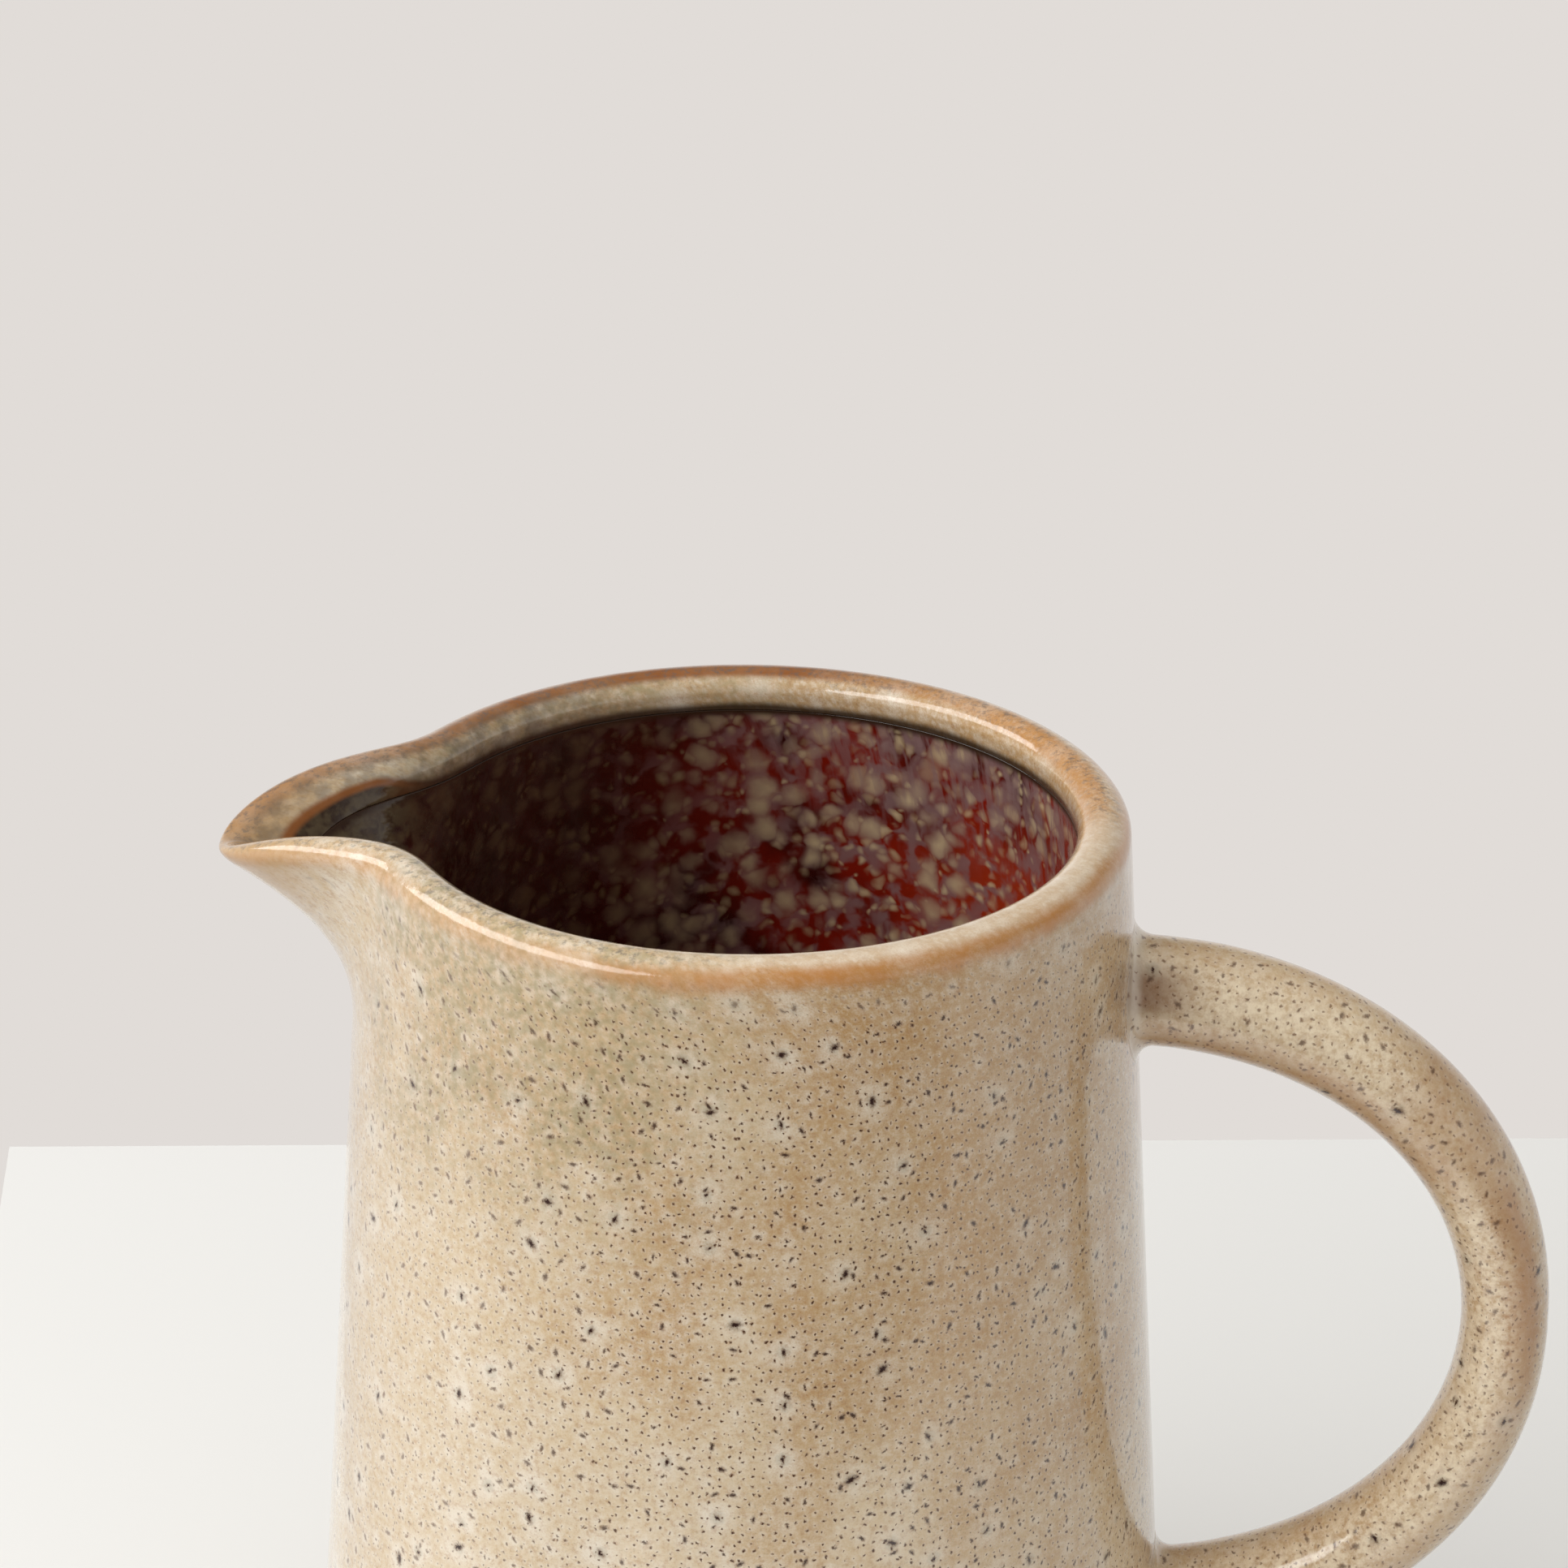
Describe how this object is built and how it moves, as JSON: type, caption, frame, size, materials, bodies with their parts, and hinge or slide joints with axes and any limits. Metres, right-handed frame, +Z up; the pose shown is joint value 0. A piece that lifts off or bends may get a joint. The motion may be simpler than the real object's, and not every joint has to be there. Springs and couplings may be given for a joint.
{
  "type": "jug vase",
  "caption": "Glazed stoneware jug vase with a pulled spout, a rounded rim, a looped handle and a bare foot ring; it holds water or cut flowers and pours.",
  "frame": {"origin": "centre of the foot ring, on the surface that the jug stands on", "axes": "+Z up, spout towards -X, handle towards +X, +Y away from the picture's camera"},
  "size_m": [0.1765, 0.117, 0.158],
  "materials": {
    "clay": "matte",
    "slip": "matte",
    "red_glaze": "gloss",
    "cream_glaze": "gloss"
  },
  "bodies": {
    "root": {"clay_body": "clay", "handle": "clay", "upper_luting": "slip", "lower_luting": "slip", "liner_glaze": "red_glaze", "body_glaze": "cream_glaze", "handle_glaze": "cream_glaze"}
  },
  "joints": []
}
